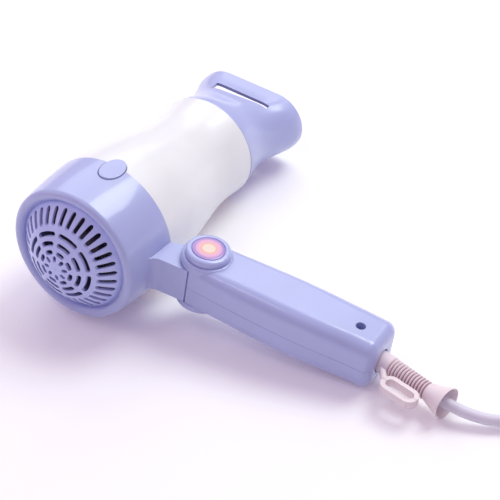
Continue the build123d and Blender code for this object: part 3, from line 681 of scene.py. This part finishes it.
class DRYER_OT_plug(bpy.types.Operator):
    """Model the moulded plug and its two round pins"""

    bl_idname = "dryer.plug"
    bl_label = "Plug"

    def execute(self, context):
        clear_selection()
        bpy.ops.mesh.primitive_plane_add(size=11.0 * MM)
        plug = begin("moulded_plug")
        bpy.ops.mesh.bevel(offset=4.2 * MM, segments=8, affect="VERTICES")
        bpy.ops.mesh.delete(type="ONLY_FACE")
        bpy.ops.mesh.select_all(action="SELECT")
        high, wide, at = 11.0, 11.0, 0.0
        steps = [(11.2, 11.4, 0.4), (11.4, 12.0, 2.5)]
        for k in range(5):
            start = 3.2 + 3.2 * k
            breadth = 12.6 + 2.9 * k
            steps.append((11.3 + 0.45 * k, breadth, start))
            steps.append((11.9 + 0.45 * k, breadth + 0.9, start + 0.5))
            steps.append((12.0 + 0.45 * k, breadth + 2.0, start + 2.0))
            steps.append((11.6 + 0.45 * k, breadth + 2.0, start + 2.5))
        steps += [(13.8, 27.5, 19.6), (14.2, 30.8, 22.6), (14.5, 34.2, 26.0), (14.6, 35.8, 29.5)]
        steps += [(14.6, 36.0, 32.4), (14.2, 35.6, 33.4), (13.0, 34.4, 34.0), (12.2, 33.6, 34.0)]
        steps += [(11.8, 33.2, 33.6), (4.0, 25.0, 33.6)]
        for high_next, wide_next, at_next in steps:
            draw_out((at_next - at) * MM, high_next / high, wide_next / wide)
            high, wide, at = high_next, wide_next, at_next
        fill_open_ends()
        settle(plug, PLUG, 32.0)
        colour = shaded(tuple(context.scene.dryer_colours.vinyl), 1.02)
        vinyl = soft_vinyl("plug_vinyl", colour, 0.48)
        dress(plug, vinyl, "handle", "plug_body")

        profile = [(2.9, 33.5), (2.9, 34.2), (2.4, 34.3), (2.4, 51.2), (2.28, 51.9), (1.9, 52.5)]
        profile += [(1.2, 52.9), (0.5, 53.0)]
        brass = plated_metal("pin_plating", (0.72, 0.62, 0.38), 0.24)
        pin_aside = 9.5
        for name, aside in (("plug_pin_a", pin_aside), ("plug_pin_b", -pin_aside)):
            pin = turned_ring(name, profile, 32)
            fill_open_ends()
            settle(pin, PLUG @ Matrix.Translation((0.0, aside * MM, 0.0)), 40.0)
            dress(pin, brass, "handle", "plug_pins")
        return {"FINISHED"}


class DRYER_OT_tie(bpy.types.Operator):
    """Model the flat band that ties the coil"""

    bl_idname = "dryer.tie"
    bl_label = "Cord tie"

    def execute(self, context):
        sizes = context.scene.dryer_sizes
        tie_at = radians(60.0)
        centre = COIL_START + COIL_LEFT * sizes.coil_radius
        outward = COIL_ALONG * cos(tie_at) + COIL_LEFT * sin(tie_at)
        aside = Vector((-outward.y, outward.x, 0.0))
        low, high = (Vector(corner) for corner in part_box("cord_tie"))
        tall = high.z - low.z - 0.3 * MM
        wound = sizes.turn_pitch / 2 * HALF_TURNS
        inner = sizes.coil_radius - wound - sizes.cord_diameter / 2 - 1.3 * MM
        outer = sizes.coil_radius + sizes.cord_diameter / 2 + 0.7 * MM
        clear_selection()
        bpy.ops.mesh.primitive_plane_add(size=1.0)
        tie = begin("cord_tie_band")
        bpy.ops.transform.resize(value=(outer - inner, tall, 1.0), center_override=(0.0, 0.0, 0.0))
        bpy.ops.mesh.bevel(offset=3.2 * MM, segments=8, affect="VERTICES")
        bpy.ops.mesh.delete(type="ONLY_FACE")
        bpy.ops.mesh.select_all(action="SELECT")
        pull_up(6.0 * MM)
        bpy.ops.mesh.select_all(action="SELECT")
        bpy.ops.transform.translate(value=(0.0, 0.0, -3.0 * MM))
        middle = centre + outward * (inner + outer) / 2
        place = placed((middle.x, middle.y, (low.z + high.z) / 2), outward, (0.0, 0.0, 1.0), -aside)
        settle(tie, place, 40.0)
        apply_modifier(tie, "SOLIDIFY", "wall", thickness=0.7 * MM, offset=0.0)
        apply_modifier(tie, "BEVEL", "soft_edge", width=0.2 * MM, segments=2, limit_method="ANGLE")
        smooth(tie, 40.0)
        vinyl = soft_vinyl("tie_vinyl", (0.82, 0.81, 0.84), 0.5)
        dress(tie, vinyl, "handle", "cord_tie")
        return {"FINISHED"}


class DRYER_OT_hinge_cap(bpy.types.Operator):
    """Model the round hinge cap and the printed disc let into it"""

    bl_idname = "dryer.hinge_cap"
    bl_label = "Hinge cap"

    def execute(self, context):
        profile = [(4.2, 14.3), (11.0, 14.3), (11.25, 14.42), (11.35, 14.7), (11.4, 15.0)]
        profile += [(11.4, 16.2), (11.25, 16.85), (10.85, 17.4), (10.3, 17.72), (9.6, 17.9)]
        profile += [(8.9, 17.9), (8.6, 17.8), (8.42, 17.5), (8.4, 17.25), (2.0, 17.25)]
        cap = turned_ring("round_cap", profile, 96)
        fill_open_ends()
        settle(cap, HINGE, 40.0)
        shell = tuple(context.scene.dryer_colours.shell)
        gloss = moulded_plastic("cap_plastic", shaded(shell, 1.03), 0.3, coat=0.5)
        dress(cap, gloss, "handle", "hinge_cap")

        profile = [(7.9, 17.26), (8.16, 17.35), (8.2, 17.6), (8.1, 17.82), (7.85, 17.93)]
        profile += [(7.0, 18.0), (5.5, 18.06), (3.6, 18.1), (1.6, 18.12), (0.4, 18.12)]
        disc = turned_ring("ringed_disc", profile, 96)
        fill_open_ends()
        settle(disc, HINGE, 40.0)
        dress(disc, ringed_print("disc_print"), "handle", "cap_disc")
        return {"FINISHED"}


class DRYER_OT_screw(bpy.types.Operator):
    """Model the cross-head screw in the well at the end of the handle"""

    bl_idname = "dryer.screw"
    bl_label = "Handle screw"

    def execute(self, context):
        profile = [(0.4, -9.0), (1.3, -8.0), (1.42, -7.6), (1.42, 7.0), (2.3, 7.0), (2.38, 7.15)]
        profile += [(2.38, 7.9), (2.25, 8.2), (1.9, 8.45), (1.2, 8.58), (0.5, 8.6)]
        screw = turned_ring("cross_head_screw", profile, 32)
        fill_open_ends()
        settle(screw, Matrix.Identity(4), 40.0)
        for turn in (0.0, 90.0):
            clear_selection()
            bpy.ops.mesh.primitive_cube_add(size=1.0)
            slot = begin("cross_slot")
            stretch(3.0, 0.55, 1.6)
            raised = Matrix.Translation((0.0, 0.0, 8.3 * MM))
            move_to(slot, raised @ Matrix.Rotation(radians(turn), 4, "Z"))
            cut_out(screw, slot)
        move_to(screw, HINGE @ Matrix.Translation((SCREW_AT, 0.0, 0.0)))
        smooth(screw, 35.0)
        plating = plated_metal("screw_plating", (0.12, 0.12, 0.14), 0.38)
        dress(screw, plating, "handle", "handle_screw")
        return {"FINISHED"}


class DRYER_OT_cord(bpy.types.Operator):
    """Lay the cord out of the relief, round its coil and to the plug"""

    bl_idname = "dryer.cord"
    bl_label = "Cord"

    def execute(self, context):
        sizes = context.scene.dryer_sizes
        points = list(LEAD)
        half_pitch = sizes.turn_pitch / 2
        per_half = 8
        step = pi / per_half
        inward = [sizes.coil_radius - half_pitch * k for k in range(HALF_TURNS)]
        climb = inward[-1] - half_pitch
        outward = [climb + half_pitch * k for k in range(1, HALF_TURNS)]
        offset = 0.0
        side = 1
        height = 0.0
        for number, radius in enumerate(inward + [climb] + outward):
            middle = offset + side * radius
            for k in range(per_half):
                angle = (k + 0.5) * step
                reach = radius / cos(step / 2)
                rise = height
                if number == HALF_TURNS:
                    rise = sizes.layer_pitch * (1 - cos(angle)) / 2
                spot = (
                    COIL_START
                    + COIL_ALONG * (side * reach * sin(angle))
                    + COIL_LEFT * (middle - side * reach * cos(angle))
                    + Vector((0.0, 0.0, rise))
                )
                points.append(tuple(spot))
            if number == HALF_TURNS:
                height = sizes.layer_pitch
            offset += side * 2 * radius
            side = -side
        points.extend(TAIL)

        line = bpy.data.curves.new("cord", "CURVE")
        line.dimensions = "3D"
        spline = line.splines.new("NURBS")
        spline.points.add(len(points) - 1)
        for knot, spot in zip(spline.points, points):
            knot.co = (*spot, 1.0)
        spline.order_u = 3
        spline.use_endpoint_u = True
        spline.resolution_u = 6
        line.bevel_depth = sizes.cord_diameter / 2
        line.bevel_resolution = 6
        line.use_fill_caps = True
        cord = bpy.data.objects.new("cord", line)
        context.scene.collection.objects.link(cord)
        paint(cord, soft_vinyl("cord_sheath", tuple(context.scene.dryer_colours.cord), 0.42))
        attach(cord, "handle")
        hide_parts("cord_lead", "cord_coil", "cord_tail")
        return {"FINISHED"}


class DRYER_OT_finishes(bpy.types.Operator):
    """Give the moulded shells and the inner works their finishes"""

    bl_idname = "dryer.finishes"
    bl_label = "Finishes"

    def execute(self, context):
        colours = context.scene.dryer_colours
        shell = moulded_plastic("lavender_plastic", tuple(colours.shell), 0.34, coat=0.55)
        # Painted light: the grille is the shell's lavender made lighter, standing in for light its face, turned
        # from the key softbox, does not get.
        lighter = shaded(tuple(colours.shell), 1.2)
        grille = moulded_plastic("grille_plastic_painted_light", lighter, 0.36, coat=0.2)
        white = moulded_plastic("white_plastic", tuple(colours.barrel), 0.36, coat=0.4)
        fan = moulded_plastic("fan_plastic", (0.075, 0.052, 0.088), 0.5)
        mount = moulded_plastic("mount_plastic", (0.09, 0.07, 0.10), 0.5)
        switch = moulded_plastic("switch_plastic", (0.035, 0.035, 0.042), 0.42)
        finishes = {
            "rear_housing": shell,
            "handle_upper": shell,
            "handle_lower": shell,
            "nozzle": shell,
            "cool_shot_button": shell,
            "switch_knob": shell,
            "intake_grille": grille,
            "barrel_shell": white,
            "hinge_screw": plated_metal("hinge_screw_plating", (0.42, 0.42, 0.44), 0.34),
            "hinge_pin": plated_metal("pin_steel", (0.5, 0.5, 0.52), 0.32),
            "motor_shaft": plated_metal("shaft_steel", (0.55, 0.55, 0.57), 0.25),
            "motor_can": plated_metal("can_steel", (0.30, 0.26, 0.30), 0.4),
            "impeller": fan,
            "motor_mount": mount,
            "button_switch": switch,
            "switch_body": switch,
            "thermal_cutout": switch,
            "front_guard": plated_metal("guard_enamel", (0.05, 0.05, 0.055), 0.45),
            "heat_shield": mica_sheet("mica_tube", (0.48, 0.42, 0.31)),
            "heater_boards": mica_sheet("mica_board", (0.52, 0.46, 0.36)),
            "heater_winding": plated_metal("oxidised_wire", (0.18, 0.14, 0.12), 0.5),
        }
        for name, material in finishes.items():
            paint(frame["nodes"][name], material)
        return {"FINISHED"}


class DRYER_PT_panel(bpy.types.Panel):
    """Sizes, colours and steps of the dryer"""

    bl_idname = "DRYER_PT_panel"
    bl_label = "Hair dryer"
    bl_space_type = "VIEW_3D"
    bl_region_type = "UI"
    bl_category = "Hair dryer"

    def draw(self, context):
        layout = self.layout
        for group in (context.scene.dryer_sizes, context.scene.dryer_colours):
            for key in group.__annotations__:
                layout.prop(group, key)
        for step in STEPS:
            layout.operator(step.bl_idname)


STEPS = (
    DRYER_OT_stage,
    DRYER_OT_relief,
    DRYER_OT_plug,
    DRYER_OT_tie,
    DRYER_OT_cord,
    DRYER_OT_hinge_cap,
    DRYER_OT_screw,
    DRYER_OT_finishes,
)
CLASSES = (DryerSizes, DryerColours) + STEPS + (DRYER_PT_panel,)


def register():
    """Register the classes and the scene's settings."""
    for kind in CLASSES:
        bpy.utils.register_class(kind)
    bpy.types.Scene.dryer_sizes = bpy.props.PointerProperty(type=DryerSizes)
    bpy.types.Scene.dryer_colours = bpy.props.PointerProperty(type=DryerColours)


def unregister():
    """Remove the settings and the classes."""
    del bpy.types.Scene.dryer_colours
    del bpy.types.Scene.dryer_sizes
    for kind in reversed(CLASSES):
        bpy.utils.unregister_class(kind)


def main():
    """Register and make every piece."""
    register()
    bpy.ops.dryer.stage()
    bpy.ops.dryer.relief()
    bpy.ops.dryer.plug()
    bpy.ops.dryer.tie()
    bpy.ops.dryer.cord()
    bpy.ops.dryer.hinge_cap()
    bpy.ops.dryer.screw()
    bpy.ops.dryer.finishes()
    clear_selection()


if __name__ == "__main__":
    main()
